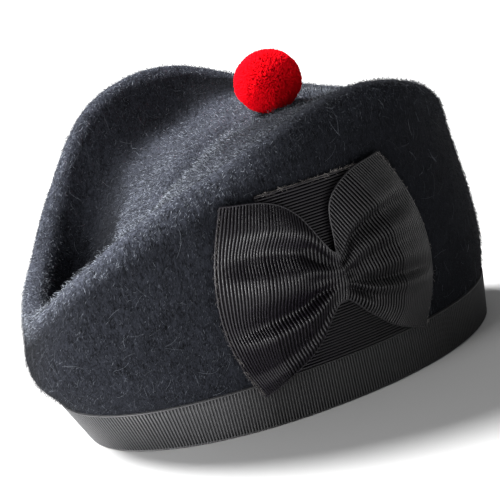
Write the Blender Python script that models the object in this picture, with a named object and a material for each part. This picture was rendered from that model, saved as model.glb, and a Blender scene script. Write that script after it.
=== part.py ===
"""Glengarry: a folded wool-felt cap with a ribbon band, a ribbon cockade and a yarn toorie.

X runs along the cap, from the low end (-X) to the tall end (+X). Y runs across it, with the cockade on
the -Y side. Z is up, and the cap stands on its lower edge at Z = 0. Lengths are in metres. The pieces
are shaped round the head opening's centre, and their objects stand where the cap's outline is centred on
the origin.
"""

import math
from collections import namedtuple

import bmesh
import bpy
from mathutils import Vector
from mathutils.bvhtree import BVHTree

# Head opening, measured over the felt, and the height of the cap
BASE_LENGTH = 0.238
BASE_WIDTH = 0.128
CROWN_HEIGHT = 0.166
OVAL_POWER = 2.11

# The head opening's centre from the middle of the cap's outline, as shares of the base's length and width
OPENING_ALONG = 0.038
OPENING_ACROSS = -0.053

# Felt
FELT = 0.0025
FOLD_RADIUS = 0.0065
FOLD_TURN_SHALLOW = math.radians(10)
FOLD_TURN_DEEP = math.radians(78)
WALL_BULGE = 0.004
FELT_OVER_BAND = 0.0016
FELT_STEP = 0.0035

# Band
BAND_HEIGHT = 0.025
BAND_THICKNESS = 0.001
FLARE_LOW = 0.0105
FLARE_TALL = 0.001
FLARE_SIDE = -0.0015

# Cockade
COCKADE_CENTRE_X = 0.008
COCKADE_CENTRE_Z = 0.070
COCKADE_HALF_WIDTH = 0.058
COCKADE_HALF_HEIGHT = 0.052
RIBBON = 0.001
BACKING_HALF_WIDTH = 0.035
BACKING_OVER_BAND = 0.0010
FOLD_RELIEF = 0.0047
GATHER_REACH = 0.20
GATHER_HEIGHT = 0.22
END_CURL = 5

# Toorie
TOORIE_DIAMETER = 0.036
TOORIE_HEIGHT = 0.033
TOORIE_ALONG = 0.018
LOCK_LENGTH = 0.0022
LOCK_TAPER = 0.0009
LOCK_VARIATION = 0.0006

# Clearance between pieces that touch
GAP = 0.0004

# Fineness of the faceted surfaces
STATIONS = 72
WALL_ROWS = 7
FOLD_ROWS = 4
VALLEY_ROWS = 7
BOW_COLUMNS = 22
BOW_ROWS = 22
BACKING_COLUMNS = 9
BACKING_ROWS = 10
TOORIE_SUBDIVISIONS = 3

# Top of the fold round the cap. along and across are shares of half the base's length and width, and
# height is a share of the crown's height. The angle is the station's, anticlockwise from the tall end.
Rim = namedtuple("Rim", "angle along across height")
RIM = (
    Rim(0, 0.882, 0.000, 0.759),
    Rim(15, 0.849, 0.280, 0.765),
    Rim(30, 0.739, 0.578, 0.789),
    Rim(45, 0.571, 0.844, 0.825),
    Rim(60, 0.370, 1.016, 0.872),
    Rim(75, 0.151, 1.156, 0.940),
    Rim(90, -0.076, 1.266, 1.000),
    Rim(105, -0.319, 1.297, 0.994),
    Rim(120, -0.563, 1.250, 0.916),
    Rim(135, -0.798, 1.094, 0.711),
    Rim(150, -0.966, 0.797, 0.536),
    Rim(165, -1.059, 0.422, 0.470),
    Rim(180, -1.084, 0.000, 0.452),
    Rim(195, -1.059, -0.359, 0.512),
    Rim(210, -0.950, -0.656, 0.608),
    Rim(225, -0.782, -0.828, 0.693),
    Rim(240, -0.563, -0.922, 0.768),
    Rim(255, -0.319, -0.969, 0.825),
    Rim(270, -0.076, -0.977, 0.886),
    Rim(285, 0.160, -0.953, 0.937),
    Rim(300, 0.378, -0.891, 0.945),
    Rim(315, 0.565, -0.750, 0.912),
    Rim(330, 0.726, -0.516, 0.855),
    Rim(345, 0.836, -0.266, 0.790),
)

# Bottom of the valley along the crown, in the same shares as the rim
Crease = namedtuple("Crease", "along across height")
CREASE = (
    Crease(-0.950, 0.00, 0.455),
    Crease(-0.850, 0.00, 0.470),
    Crease(-0.700, -0.03, 0.540),
    Crease(-0.560, -0.05, 0.640),
    Crease(-0.430, -0.06, 0.716),
    Crease(-0.190, -0.06, 0.789),
    Crease(0.020, -0.04, 0.837),
    Crease(0.250, 0.00, 0.852),
    Crease(0.500, 0.00, 0.837),
    Crease(0.820, 0.00, 0.753),
)
VALLEY_FLOOR = 0.42

# Form of the valley between the fold and the crease. drop is how far the cloth heads down from the fold,
# as a share of the crown's height, and rise is the floor's slope up from the crease.
Valley = namedtuple("Valley", "angle drop rise")
VALLEY = (
    Valley(0, 0.01, 0.00),
    Valley(45, 0.09, 0.10),
    Valley(90, 0.31, 0.42),
    Valley(135, 0.26, 0.24),
    Valley(180, 0.02, 0.00),
    Valley(225, 0.08, 0.15),
    Valley(270, 0.11, 0.34),
    Valley(315, 0.08, 0.26),
)

# Outline of the bow from its left end to its right end. The x values are shares of the cockade's half
# width and the z values of its half height, from its centre.
BowLine = namedtuple("BowLine", "place top_x top_z middle_x low_x low_z")
BOW_LINES = (
    BowLine(-1.0, -0.90, 1.00, -1.08, -0.83, -0.98),
    BowLine(-0.6, -0.52, 0.92, -0.70, -0.57, -0.86),
    BowLine(-0.3, -0.28, 0.72, -0.35, -0.27, -0.64),
    BowLine(0.0, -0.02, 0.27, 0.00, -0.02, -0.24),
    BowLine(0.3, 0.01, 0.74, 0.28, 0.26, -0.50),
    BowLine(0.6, 0.23, 0.97, 0.62, 0.50, -0.74),
    BowLine(1.0, 0.55, 1.05, 0.95, 0.80, -0.90),
)

# How high the bow's folds stand at their fullest, as shares of the fold relief. across is the place over
# the ribbon's width, from -1 at the lower edge to 1 at the upper one.
Fold = namedtuple("Fold", "across height")
LEFT_FOLDS = (
    Fold(-1.00, 0.02),
    Fold(-0.88, 0.42),
    Fold(-0.74, 0.28),
    Fold(-0.50, 0.78),
    Fold(-0.36, 0.92),
    Fold(-0.27, 0.20),
    Fold(-0.14, 0.50),
    Fold(0.10, 1.00),
    Fold(0.32, 0.86),
    Fold(0.56, 0.38),
    Fold(0.80, 0.62),
    Fold(1.00, 0.10),
)
RIGHT_FOLDS = (
    Fold(-1.00, 0.02),
    Fold(-0.78, 0.36),
    Fold(-0.55, 0.30),
    Fold(-0.38, 0.62),
    Fold(-0.26, 0.10),
    Fold(-0.04, 0.66),
    Fold(0.16, 0.42),
    Fold(0.36, 0.80),
    Fold(0.54, 0.10),
    Fold(0.68, 1.00),
    Fold(0.84, 0.66),
    Fold(1.00, 0.20),
)


def clear_scene():
    for old in list(bpy.data.objects):
        bpy.data.objects.remove(old, do_unlink=True)


def surface_material(name, colour, roughness):
    material = bpy.data.materials.new(name)
    material.use_nodes = True
    shader = material.node_tree.nodes["Principled BSDF"]
    shader.inputs["Base Color"].default_value = (*colour, 1.0)
    shader.inputs["Roughness"].default_value = roughness
    shader.inputs["Metallic"].default_value = 0.0
    return material


def add_object(name, mesh_data, material):
    """Links a finished bmesh to the scene as one named object."""
    mesh = bpy.data.meshes.new(name)
    mesh_data.to_mesh(mesh)
    mesh_data.free()
    mesh.materials.append(material)
    mesh.shade_smooth()
    mesh.set_sharp_from_angle(angle=math.radians(50))
    piece = bpy.data.objects.new(name, mesh)
    piece.location = (OPENING_ALONG * BASE_LENGTH, OPENING_ACROSS * BASE_WIDTH, 0)
    bpy.context.scene.collection.objects.link(piece)
    return piece


def cubic(before, start, end, after, share):
    """A smooth curve from start to end, for values between before and after."""
    return 0.5 * (
        2 * start
        + (end - before) * share
        + (2 * before - 5 * start + 4 * end - after) * share**2
        + (3 * start - before - 3 * end + after) * share**3
    )


def bezier(first, second, third, last, share):
    rest = 1 - share
    return (
        first * rest**3
        + second * 3 * rest**2 * share
        + third * 3 * rest * share**2
        + last * share**3
    )


def table_value(rows, key, place, column):
    """A column of an open table, read smoothly at a place between its rows."""
    keys = [getattr(row, key) for row in rows]
    place = min(max(place, keys[0]), keys[-1])
    low = 0
    while low < len(rows) - 2 and place > keys[low + 1]:
        low += 1
    share = (place - keys[low]) / (keys[low + 1] - keys[low])
    values = [getattr(row, column) for row in rows]
    before = values[low - 1] if low > 0 else 2 * values[low] - values[low + 1]
    after = values[low + 2] if low + 2 < len(rows) else 2 * values[low + 1] - values[low]
    return cubic(before, values[low], values[low + 1], after, share)


def base_point(angle):
    """The felt's outer edge at the floor."""
    cosine = math.cos(angle)
    sine = math.sin(angle)
    x = math.copysign(abs(cosine) ** (2 / OVAL_POWER), cosine) * BASE_LENGTH / 2
    y = math.copysign(abs(sine) ** (2 / OVAL_POWER), sine) * BASE_WIDTH / 2
    return Vector((x, y, 0))


def ring_value(rows, angle, column):
    """A column of a table that goes all the way round, read smoothly at an angle."""
    place = (math.degrees(angle) % 360) / (360 / len(rows))
    index = int(place)
    before, start, end, after = (getattr(rows[(index + step) % len(rows)], column) for step in (-1, 0, 1, 2))
    return cubic(before, start, end, after, place - index)


def rim_point(angle):
    """The top of the fold between the outer wall and the valley."""
    along, across, height = (ring_value(RIM, angle, column) for column in ("along", "across", "height"))
    return Vector((along * BASE_LENGTH / 2, across * BASE_WIDTH / 2, height * CROWN_HEIGHT))


def crease_point(angle):
    """The bottom of the valley opposite a station, the same for the two walls."""
    middle = (CREASE[0].along + CREASE[-1].along) / 2
    reach = (CREASE[-1].along - CREASE[0].along) / 2
    along = middle + reach * math.cos(angle)
    across = table_value(CREASE, "along", along, "across")
    height = table_value(CREASE, "along", along, "height")
    return Vector((along * BASE_LENGTH / 2, across * BASE_WIDTH / 2, height * CROWN_HEIGHT))


def outward(curve, angle):
    """The level direction away from the cap, square to a curve that goes round it."""
    step = math.pi / 360
    along = curve(angle + step) - curve(angle - step)
    return Vector((along.y, -along.x, 0)).normalized()


def flare(angle):
    """How much further out the felt is at the band's top than at the floor."""
    end = math.cos(angle) ** 2
    end_flare = FLARE_TALL if math.cos(angle) > 0 else FLARE_LOW
    return FLARE_SIDE * (1 - end) + end_flare * end


def band_seat(angle, height):
    """The felt's outer surface under the band."""
    out = outward(base_point, angle)
    return base_point(angle) + out * flare(angle) * height / BAND_HEIGHT + Vector((0, 0, height))


def profile(angle):
    """The felt's outer surface at one station, from the floor over the fold to the crease."""
    up = Vector((0, 0, 1))
    out = outward(base_point, angle)
    rim = rim_point(angle)
    rim_out = outward(rim_point, angle)
    crease = crease_point(angle)
    centre = rim - up * FOLD_RADIUS
    points = [band_seat(angle, 0), band_seat(angle, BAND_HEIGHT / 2), band_seat(angle, BAND_HEIGHT)]

    shoulder = band_seat(angle, BAND_HEIGHT + FELT_STEP) + out * FELT_OVER_BAND
    wall_top = centre + rim_out * FOLD_RADIUS
    lean = (wall_top - shoulder) / 3
    low_handle = shoulder + up * lean.z + out * (WALL_BULGE + flare(angle))
    high_handle = wall_top - up * lean.z + rim_out * WALL_BULGE
    for row in range(WALL_ROWS):
        points.append(bezier(shoulder, low_handle, high_handle, wall_top, row / WALL_ROWS))

    depth = (centre - crease).z
    deep = min(max(depth / (4 * FOLD_RADIUS), 0), 1)
    turn = math.pi / 2 + FOLD_TURN_SHALLOW + (FOLD_TURN_DEEP - FOLD_TURN_SHALLOW) * deep
    for row in range(FOLD_ROWS + 1):
        bend = turn * row / FOLD_ROWS
        points.append(centre + (rim_out * math.cos(bend) + up * math.sin(bend)) * FOLD_RADIUS)

    inner = points[-1]
    heading = -rim_out * math.sin(turn) + up * math.cos(turn)
    floor = Vector((inner.x - crease.x, inner.y - crease.y, 0)) * VALLEY_FLOOR
    drop_handle = inner + heading * CROWN_HEIGHT * ring_value(VALLEY, angle, "drop")
    floor_handle = crease + floor + up * floor.length * ring_value(VALLEY, angle, "rise")
    for row in range(1, VALLEY_ROWS + 1):
        points.append(bezier(inner, drop_handle, floor_handle, crease, row / VALLEY_ROWS))
    return points


def station_angles():
    return [2 * math.pi * station / STATIONS for station in range(STATIONS)]


def crown(material):
    """The felt: outer wall, fold and valley, one cloth thick, and open below."""
    outer = bmesh.new()
    rings = [profile(angle) for angle in station_angles()]
    rows = len(rings[0])
    grid = [[outer.verts.new(point) for point in ring] for ring in rings]
    for station in range(STATIONS):
        here = grid[station]
        following = grid[(station + 1) % STATIONS]
        for row in range(rows - 1):
            outer.faces.new((here[row], following[row], following[row + 1], here[row + 1]))
    bmesh.ops.remove_doubles(outer, verts=outer.verts, dist=1e-5)
    outer.normal_update()

    skin = list(outer.faces)
    lining = {}
    for vertex in list(outer.verts):
        inward = -vertex.normal
        if vertex.co.z < 1e-6:
            inward = Vector((inward.x, inward.y, 0)).normalized()
        lining[vertex] = outer.verts.new(vertex.co + inward * FELT)
    edge_loops = [loop for face in skin for loop in face.loops if loop.edge.is_boundary]
    hem = [(loop.vert, loop.link_loop_next.vert) for loop in edge_loops]
    for face in skin:
        outer.faces.new([lining[vertex] for vertex in reversed(face.verts)])
    for start, end in hem:
        outer.faces.new((end, start, lining[start], lining[end]))
    return add_object("crown", outer, material)


def band(material):
    """The ribbon round the base, laid on the felt."""
    mesh_data = bmesh.new()
    grid = []
    for angle in station_angles():
        out = outward(base_point, angle)
        inner = out * GAP
        outer = out * (GAP + BAND_THICKNESS)
        bottom = band_seat(angle, 0)
        top = band_seat(angle, BAND_HEIGHT)
        grid.append([mesh_data.verts.new(p) for p in (bottom + outer, top + outer, top + inner, bottom + inner)])
    for station in range(STATIONS):
        here = grid[station]
        following = grid[(station + 1) % STATIONS]
        for row in range(4):
            after = (row + 1) % 4
            mesh_data.faces.new((here[row], following[row], following[after], here[after]))
    return add_object("band", mesh_data, material)


def felt_tree(cap):
    """A search tree over the felt, to lay other pieces on it."""
    mesh_data = bmesh.new()
    mesh_data.from_mesh(cap.data)
    tree = BVHTree.FromBMesh(mesh_data)
    mesh_data.free()
    return tree


def on_near_wall(tree, x, z, lift):
    """A point that stands off the near wall by lift. Below the felt's shoulder it hangs straight down."""
    shoulder = BAND_HEIGHT + 2 * FELT_STEP
    start = Vector((x, -BASE_LENGTH, max(z, shoulder)))
    hit = tree.ray_cast(start, Vector((0, 1, 0)))[0]
    return Vector((x, hit.y - lift, z))


def sheet_solid(name, front, back, material):
    """A closed sheet between two grids of points of the same size."""
    mesh_data = bmesh.new()
    columns = len(front)
    rows = len(front[0])
    face_grid = [[mesh_data.verts.new(point) for point in column] for column in front]
    back_grid = [[mesh_data.verts.new(point) for point in column] for column in back]
    for column in range(columns - 1):
        for row in range(rows - 1):
            for grid in (face_grid, back_grid):
                corners = [grid[column][row], grid[column + 1][row], grid[column + 1][row + 1], grid[column][row + 1]]
                mesh_data.faces.new(corners if grid is face_grid else corners[::-1])
    border = [(column, 0) for column in range(columns)]
    border += [(columns - 1, row) for row in range(1, rows)]
    border += [(column, rows - 1) for column in range(columns - 2, -1, -1)]
    border += [(0, row) for row in range(rows - 2, 0, -1)]
    for (column, row), (next_column, next_row) in zip(border, border[1:] + border[:1]):
        mesh_data.faces.new(
            (
                face_grid[next_column][next_row],
                face_grid[column][row],
                back_grid[column][row],
                back_grid[next_column][next_row],
            )
        )
    bmesh.ops.recalc_face_normals(mesh_data, faces=mesh_data.faces)
    return add_object(name, mesh_data, material)


def backing(tree, material):
    """The upright ribbon behind the bow."""
    low = BAND_HEIGHT + BACKING_OVER_BAND
    high = COCKADE_CENTRE_Z + COCKADE_HALF_HEIGHT
    grids = []
    for lift in (GAP + RIBBON, GAP):
        grid = []
        for column in range(BACKING_COLUMNS + 1):
            x = COCKADE_CENTRE_X + BACKING_HALF_WIDTH * (2 * column / BACKING_COLUMNS - 1)
            heights = [low + (high - low) * row / BACKING_ROWS for row in range(BACKING_ROWS + 1)]
            grid.append([on_near_wall(tree, x, z, lift) for z in heights])
        grids.append(grid)
    return sheet_solid("cockade_backing", *grids, material)


def bow_place(place, across):
    """Where a point of the bow lies on the wall: place runs along the ribbon and across over its width."""
    top_x, top_z, middle_x, low_x, low_z = (
        table_value(BOW_LINES, "place", place, column)
        for column in ("top_x", "top_z", "middle_x", "low_x", "low_z")
    )
    x = middle_x + (top_x - low_x) / 2 * across + ((top_x + low_x) / 2 - middle_x) * across**2
    z = (top_z - low_z) / 2 * across + (top_z + low_z) / 2 * across**2
    return COCKADE_CENTRE_X + x * COCKADE_HALF_WIDTH, COCKADE_CENTRE_Z + z * COCKADE_HALF_HEIGHT


def bow_lift(place, across):
    """How far the bow's folds stand off the backing."""
    folds = table_value(LEFT_FOLDS if place < 0 else RIGHT_FOLDS, "across", across, "height")
    reach = abs(place)
    gather = math.exp(-((reach / GATHER_REACH) ** 2))
    swell = (1 - gather) * (1 - reach**END_CURL)
    return FOLD_RELIEF * (folds * swell + GATHER_HEIGHT * gather)


def bow(tree, material):
    """The wide ribbon gathered at its middle."""
    seat = 2 * GAP + RIBBON
    grids = []
    for extra in (RIBBON, 0):
        grid = []
        for column in range(BOW_COLUMNS + 1):
            place = 2 * column / BOW_COLUMNS - 1
            points = []
            for row in range(BOW_ROWS + 1):
                across = 2 * row / BOW_ROWS - 1
                x, z = bow_place(place, across)
                points.append(on_near_wall(tree, x, z, seat + extra + bow_lift(place, across)))
            grid.append(points)
        grids.append(grid)
    return sheet_solid("cockade_bow", *grids, material)


def lock_cells(radius):
    """A ball of six-sided cells, one for each vertex of an icosphere."""
    sphere = bmesh.new()
    bmesh.ops.create_icosphere(sphere, subdivisions=TOORIE_SUBDIVISIONS, radius=radius)
    cells = bmesh.new()
    corners = {}
    for face in sphere.faces:
        corners[face.index] = cells.verts.new(face.calc_center_median().normalized() * radius)
    for vertex in sphere.verts:
        out = vertex.co.normalized()
        side = out.orthogonal().normalized()
        third = out.cross(side)
        around = sorted(
            vertex.link_faces,
            key=lambda face: math.atan2(face.calc_center_median().dot(third), face.calc_center_median().dot(side)),
        )
        cells.faces.new([corners[face.index] for face in around])
    sphere.free()
    return cells


def toorie(tree, material):
    """The pompom: short locks all over a ball, pressed flat where it sits in the valley."""
    radius = TOORIE_DIAMETER / 2
    ball = lock_cells(radius - LOCK_LENGTH)
    for index, face in enumerate(list(ball.faces)):
        length = LOCK_LENGTH + LOCK_VARIATION * math.sin(index * 2.4)
        bmesh.ops.inset_individual(ball, faces=[face], thickness=LOCK_TAPER, depth=length)
    top = Vector((TOORIE_ALONG, 0, 2 * CROWN_HEIGHT))
    floor = tree.ray_cast(top, Vector((0, 0, -1)))[0]
    bmesh.ops.scale(ball, verts=ball.verts, vec=(1, 1, TOORIE_HEIGHT / TOORIE_DIAMETER))
    bmesh.ops.translate(ball, verts=ball.verts, vec=floor + Vector((0, 0, TOORIE_HEIGHT / 2)))
    for vertex in ball.verts:
        above = Vector((vertex.co.x, vertex.co.y, 2 * CROWN_HEIGHT))
        felt = tree.ray_cast(above, Vector((0, 0, -1)))[0]
        vertex.co.z = max(vertex.co.z, felt.z + GAP)
    return add_object("toorie", ball, material)


def main():
    clear_scene()
    felt = surface_material("black_felt", (0.018, 0.020, 0.026), 0.95)
    band_ribbon = surface_material("band_ribbon", (0.022, 0.022, 0.025), 0.60)
    cockade_ribbon = surface_material("cockade_ribbon", (0.016, 0.015, 0.018), 0.50)
    red_yarn = surface_material("red_yarn", (0.80, 0.004, 0.010), 0.85)

    cap = crown(felt)
    band(band_ribbon)
    tree = felt_tree(cap)
    backing(tree, cockade_ribbon)
    bow(tree, cockade_ribbon)
    toorie(tree, red_yarn)


main()
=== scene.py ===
"""Glengarry: felt with its nap, grosgrain ribbons, a yarn toorie, and a plain studio floor and light."""

import math
import random
from collections import namedtuple

import bmesh
import bpy
import numpy as np
from mathutils import Matrix, Vector, noise
from mathutils.bvhtree import BVHTree


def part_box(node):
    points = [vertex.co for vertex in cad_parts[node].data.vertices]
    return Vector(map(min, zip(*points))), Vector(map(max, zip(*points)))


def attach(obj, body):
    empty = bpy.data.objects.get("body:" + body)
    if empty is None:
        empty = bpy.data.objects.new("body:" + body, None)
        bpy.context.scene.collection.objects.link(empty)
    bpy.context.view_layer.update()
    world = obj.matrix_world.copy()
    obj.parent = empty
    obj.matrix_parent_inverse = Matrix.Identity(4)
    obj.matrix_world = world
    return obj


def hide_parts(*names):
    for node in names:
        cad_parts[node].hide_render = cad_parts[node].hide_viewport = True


bl_info = {
    "name": "Glengarry",
    "version": (1, 0, 0),
    "blender": (4, 5, 0),
    "location": "3D View > Sidebar > Glengarry",
    "description": "Dresses a packed glengarry with napped felt, ribbed ribbon and a yarn toorie",
    "category": "Object",
}

MM = 0.001

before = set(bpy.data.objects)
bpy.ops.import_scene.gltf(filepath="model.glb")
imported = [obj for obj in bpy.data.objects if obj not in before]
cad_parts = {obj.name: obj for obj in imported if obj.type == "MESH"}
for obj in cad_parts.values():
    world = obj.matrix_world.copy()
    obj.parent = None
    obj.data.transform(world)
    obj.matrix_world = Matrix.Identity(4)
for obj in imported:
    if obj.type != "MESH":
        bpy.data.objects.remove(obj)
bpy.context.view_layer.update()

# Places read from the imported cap
BAND_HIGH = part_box("band")[1]
BACKING_LOW, BACKING_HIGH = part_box("cockade_backing")
TOORIE_LOW, TOORIE_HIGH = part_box("toorie")
TOORIE_CENTRE = (TOORIE_LOW + TOORIE_HIGH) / 2
TOORIE_RADIUS = (TOORIE_HIGH.x - TOORIE_LOW.x) / 2
TOORIE_FLATNESS = (TOORIE_HIGH.z - TOORIE_LOW.z) / (TOORIE_HIGH.x - TOORIE_LOW.x)

# The head opening's centre, where the part has it
OPENING = Vector((0.00904, -0.00678, 0))

# Felt. The lumps' fractal has a fall-off, a step between its octaves, and their count.
FELT = 2.5 * MM
FOLD_RADIUS = 6.5 * MM
SUBDIVISIONS = 2
SAME_PLACE = 0.01 * MM
LUMP_SIZE = 14 * MM
LUMP_HEIGHT = 0.35 * MM
LUMP_FADE = 10 * MM
LUMP_FRACTAL = (0.8, 2.0, 3)
RIM_SECTORS = 72

# The valley's hollow at the low end: where it is deepest, how far it reaches, and its edge, as shares of
# the fold's distance from the opening's centre. From here to the nap, a pair has a smooth step's ends.
HOLLOW_DEPTH = 16 * MM
HOLLOW_CENTRE = Vector((-0.094, 0.026))
HOLLOW_LENGTH = 40 * MM
HOLLOW_WIDTH = 46 * MM
HOLLOW_EDGE = (0.95, 0.86)

# The soft crease along the valley's bottom: a point of it, how far it goes across for each step along,
# its ends by X, and how level the felt has to be
CREASE_DEPTH = 3.5 * MM
CREASE_WIDTH = 6 * MM
CREASE_POINT = Vector((-0.016, -0.003))
CREASE_SLOPE = 0.33
CREASE_LOW_END = (-0.080, -0.055)
CREASE_TALL_END = (0.015, -0.005)
CREASE_LEVEL = (0.3, 0.6)

# The fold's roll, lighter by wear and by painted highlight, by the depth under the fold's top,
# which counts for more inside the fold's edge
ROLL_FADE = (19 * MM, 6 * MM)
ROLL_EDGE = (0.94, 0.88)
ROLL_EDGE_DROP = 15 * MM
WALL_LEVEL = 0.4

# The trough inside the far fold, which gets painted shade, as shares of the fold's distance and by Y
TROUGH_EDGE = (0.58, 0.80)
TROUGH_SIDE = (-0.010, 0.015)

# How much nap there is off the roll, and what hides it. The felt is lighter by painted light on level
# felt, with painted shade in the hollow, the trough, the crease and the near tall quarter, and a little
# painted light on the near wall where it faces the front, more towards the low end
NAP_PLAIN = 0.8
TRIM_REACH = 14 * MM
BALL_COVER = 0.9
LIT_LEVEL = (0.3, 0.8)
# Painted shade: how much darker the hollow, the trough and the crease are
HOLLOW_SHADE = 0.95
TROUGH_SHADE = 0.97
CREASE_SHADE = 0.6
# Painted shade on the near tall quarter
TALL_SHADE = 0.9
TALL_SHADE_ALONG = (-0.05, 0.02)
TALL_SHADE_ACROSS = (0.01, -0.04)
# Painted light on the near wall where it faces the front
FRONT_LIGHT = 0.19
FRONT_LIGHT_ALONG = (0.06, -0.06)
FRONT_LIGHT_SIDE = (0.0, 0.6)

# Noises of the materials. The scale is for each metre, and the share is how much one counts in a sum.
Layer = namedtuple("Layer", "scale detail roughness share", defaults=(1.0,))
FELT_FIBRES = Layer(1500, 2.0, 0.7, 0.6)
FELT_CLUMPS = Layer(420, 3.0, 0.6, 0.3)
FELT_CLOUDS = Layer(45, 2.0, 0.55, 0.1)
NAP_CLUMPS = Layer(800, 1.0, 0.5)
RIBBON_THREADS = Layer(2600, 2.0, 0.6, 0.7)
RIBBON_CLOUDS = Layer(90, 2.0, 0.55, 0.3)
FLOOR_GRAIN = Layer(700, 3.0, 0.55)

# Tones of the felt and of its nap, where a factor multiplies the felt's colour
FELT_COMBING = (1.0, 1.0, 0.35)
FELT_TONES = (0.36, 0.66)
FELT_DARK = 0.35
FELT_LIGHT = 1.5
# The tone of the felt's wear and painted light
FELT_WORN_AND_LIT = 13
NAP_TONE_POWER = 2.3
NAP_LEAST_TONE = 0.04
NAP_CLUMP_TONES = (0.40, 0.62, 0.08, 2.1)

# Fibres: their bend, the settings with their density and length, and how they vary, rise and stray
FibreKind = namedtuple("FibreKind", "name bend density length variation rise wildness seed")
FIBRE_KINDS = (
    FibreKind("nap", 0.0, "nap_density", "nap_length", 0.5, 0.90, 0.9, 3),
    FibreKind("curls", 1.6, "curl_density", "curl_length", 0.45, 0.35, 0.75, 5),
)
COMB = (-0.45, 0.0, -0.8)

# Stray hairs. Their length is in millimetres, their radius is a share of a fibre's thickness, and their
# lift is one of their own length.
HAIR_STEPS = 5
HAIR_SIDES = 3
HAIR_LENGTH = (3, 9)
HAIR_LIFT = (0.1, 0.4)
HAIR_LEAN = Vector((-0.5, 0, -1.0))
HAIR_CURL = 0.55
HAIR_ROOT = 0.2 * MM
HAIR_RADIUS = 0.35
HAIR_LIGHTEST = 0.32

# Seeds of what is random, beside the fibres' own ones, which go up by a step from quarter to quarter
SEEDS = {"stray_hairs": 5, "stray_tones": 7, "frays": 11, "fray_tones": 3, "strands": 3}
SEED_STEP = 10

# Quarters of the cap seen from above, by their signs of X and Y from the opening's centre
QUARTERS = {"near_low": (-1, -1), "near_tall": (1, -1), "far_low": (-1, 1), "far_tall": (1, 1)}

# How far outside the cap a search ray starts
RAY_START = 0.3

# Ribbons. Each is lighter towards its left end, which is painted light, and the cockade's right fan
# darker,
# which is painted shade: the last two are its tones at the X of start and of end.
Weave = namedtuple("Weave", "roughness shine start end plain faded")
BAND_WEAVE = Weave(0.40, 0.50, -0.025, -0.055, 0.65, 3.0)
COCKADE_WEAVE = Weave(0.27, 0.50, 0.035, -0.005, 0.25, 1.0)
# The sheet between the cockade's ribs, darker as painted shade
GAP_SHADE_WEAVE = Weave(0.60, 0.10, 0.035, -0.005, 0.15, 0.3)
RIBBON_DARK = 0.5
RIBBON_LIGHT = 1.7
THREAD_ROUGHNESS = 0.20
CLOUD_ROUGHNESS = 0.12
PLAIN_ROUGHNESS = 0.3
RIBBON = 1.0 * MM
CLEARANCE = 0.4 * MM
SHEET_INSET = 0.3 * MM
RIB_SIDES = 5

# Band. Its ring is found by rays near its two edges and smoothed over some of them to each side.
RING_RAYS = 1440
RING_MARGIN = 2 * MM
RING_SMOOTHING = 12
BAND_ROWS = 5
BAND_DEPTH = RIBBON - 0.15 * MM
BAND_RIB_SHARES = (0.03, 0.97)
BAND_RIB_POINTS = 7
BAND_SELVEDGES = (0.022, 0.978)

# Cockade, in the sizes and shares of the part
COCKADE_CENTRE = Vector((0.008, 0, 0.070))
COCKADE_HALF_WIDTH = 58 * MM
COCKADE_HALF_HEIGHT = 52 * MM
FOLD_RELIEF = 8.0 * MM
SHOULDER = 32 * MM
BACKING_COLUMNS = 22
BACKING_ROWS = 24
BACKING_EDGE_POINTS = 60
BOW_STEPS = 64

# Outline of the bow from its left end to its right end. The x values are shares of the cockade's half
# width and the z values of its half height, from its centre.
BowLine = namedtuple("BowLine", "place top_x top_z middle_x low_x low_z")
BOW_LINES = (
    BowLine(-1.0, -0.90, 1.00, -1.08, -0.83, -0.98),
    BowLine(-0.6, -0.52, 0.92, -0.70, -0.57, -0.86),
    BowLine(-0.3, -0.28, 0.72, -0.35, -0.27, -0.64),
    BowLine(0.0, -0.02, 0.27, 0.00, -0.02, -0.24),
    BowLine(0.3, 0.01, 0.74, 0.28, 0.26, -0.50),
    BowLine(0.6, 0.23, 0.97, 0.62, 0.50, -0.74),
    BowLine(1.0, 0.55, 1.05, 0.95, 0.80, -0.90),
)

# How high the bow's folds stand at their fullest, as shares of FOLD_RELIEF. across is the place over the
# ribbon's width, from -1 at the lower edge to 1 at the upper one.
Fold = namedtuple("Fold", "across height")
LEFT_FOLDS = (
    Fold(-1.00, 0.02),
    Fold(-0.88, 0.42),
    Fold(-0.74, 0.28),
    Fold(-0.50, 0.84),
    Fold(-0.36, 0.98),
    Fold(-0.27, 0.28),
    Fold(-0.14, 0.42),
    Fold(0.10, 1.00),
    Fold(0.30, 0.92),
    Fold(0.52, 0.22),
    Fold(0.78, 0.72),
    Fold(1.00, 0.10),
)
RIGHT_FOLDS = (
    Fold(-1.00, 0.02),
    Fold(-0.78, 0.36),
    Fold(-0.55, 0.30),
    Fold(-0.38, 0.62),
    Fold(-0.26, 0.10),
    Fold(-0.04, 0.66),
    Fold(0.16, 0.42),
    Fold(0.36, 0.80),
    Fold(0.54, 0.10),
    Fold(0.68, 1.00),
    Fold(0.84, 0.66),
    Fold(1.00, 0.20),
)
GATHER_REACH = 0.20
GATHER_HEIGHT = 0.22
END_CURL = 5

# Short tucks that the stitches pull in beside the gather. The depth is a share of FOLD_RELIEF.
Tuck = namedtuple("Tuck", "place across width depth")
TUCKS = (
    Tuck(-0.17, 0.62, 0.20, 0.60),
    Tuck(-0.20, 0.12, 0.14, 0.34),
    Tuck(-0.19, -0.20, 0.12, 0.26),
    Tuck(0.13, 0.46, 0.12, 0.45),
    Tuck(0.16, 0.00, 0.16, 0.48),
    Tuck(0.18, -0.52, 0.14, 0.30),
)
TUCK_REACH = 0.11
LAP = 1.3 * MM
LAP_PLACE = 0.055

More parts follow.
